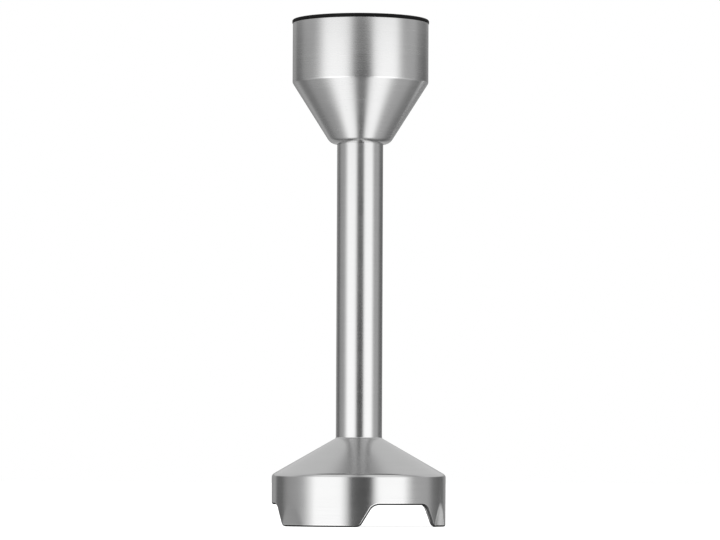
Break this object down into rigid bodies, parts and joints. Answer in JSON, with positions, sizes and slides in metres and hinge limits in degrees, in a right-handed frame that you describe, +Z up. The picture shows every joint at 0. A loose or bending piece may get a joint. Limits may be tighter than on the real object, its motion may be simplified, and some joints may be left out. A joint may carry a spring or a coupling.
{
  "type": "immersion blender shaft",
  "caption": "Detachable blending shaft: a flared coupling cup takes a motor unit, and a long steel tube ends in a footed bell guard over a spinning blade.",
  "frame": {"origin": "on the shaft's axis, in the plane of the three feet's soles", "axes": "+Z up the shaft's axis, out of the coupling cup's mouth; +X through the middle of one foot, with a window facing -X"},
  "size_m": [0.0956, 0.0956, 0.2791],
  "materials": {
    "brushed_stainless": "brushed around the axis, satin",
    "black_rubber": "matte",
    "black_plastic": "fine moulded texture",
    "zinc_steel": "zinc plated",
    "turned_aluminium": "turned",
    "bearing_steel": "polished",
    "cage_brass": "satin",
    "spring_steel": "oiled",
    "ivory_plastic": "satin",
    "bush_bronze": "sintered",
    "ground_steel": "ground",
    "coupler_plastic": "glass filled, satin",
    "polished_stainless": "polished",
    "blade_steel": "ground"
  },
  "bodies": {
    "arm": {"coupling_cup": "brushed_stainless", "rim_gasket": "black_rubber", "socket_insert": "black_plastic", "insert_screws": "zinc_steel", "bearing_carrier": "turned_aluminium", "bearing_outer_race": "bearing_steel", "bearing_shields": "bearing_steel", "preload_washer": "spring_steel", "bearing_circlip": "spring_steel", "shaft_tube": "brushed_stainless", "mid_bush": "ivory_plastic", "bell": "brushed_stainless", "lower_housing": "turned_aluminium", "lower_bush": "bush_bronze", "housing_o_rings": "black_rubber", "upper_seal": "black_rubber", "lower_seal": "black_rubber", "seal_springs": "spring_steel", "seal_circlip": "spring_steel"},
    "drive": {"bearing_inner_race": "bearing_steel", "shaft_circlip": "spring_steel", "drive_shaft": "ground_steel", "drive_coupler": "coupler_plastic", "coupler_pin": "ground_steel", "slinger_washer": "ivory_plastic", "blade_spacer": "polished_stainless", "blade": "blade_steel", "blade_washer": "polished_stainless", "blade_nut": "polished_stainless"},
    "ball_cage": {"bearing_cage": "cage_brass", "bearing_balls": "bearing_steel"}
  },
  "joints": [
    {"name": "drive_spin", "type": "hinge", "parent": "arm", "child": "drive", "pos_m": [0, 0, 0.237], "axis": [0, 0, 1], "continuous": true},
    {"name": "cage_spin", "type": "hinge", "parent": "arm", "child": "ball_cage", "pos_m": [0, 0, 0.237], "axis": [0, 0, 1], "continuous": true}
  ],
  "couplings": [
    {"joint": "cage_spin", "follows": "drive_spin", "ratio": 0.36773}
  ]
}
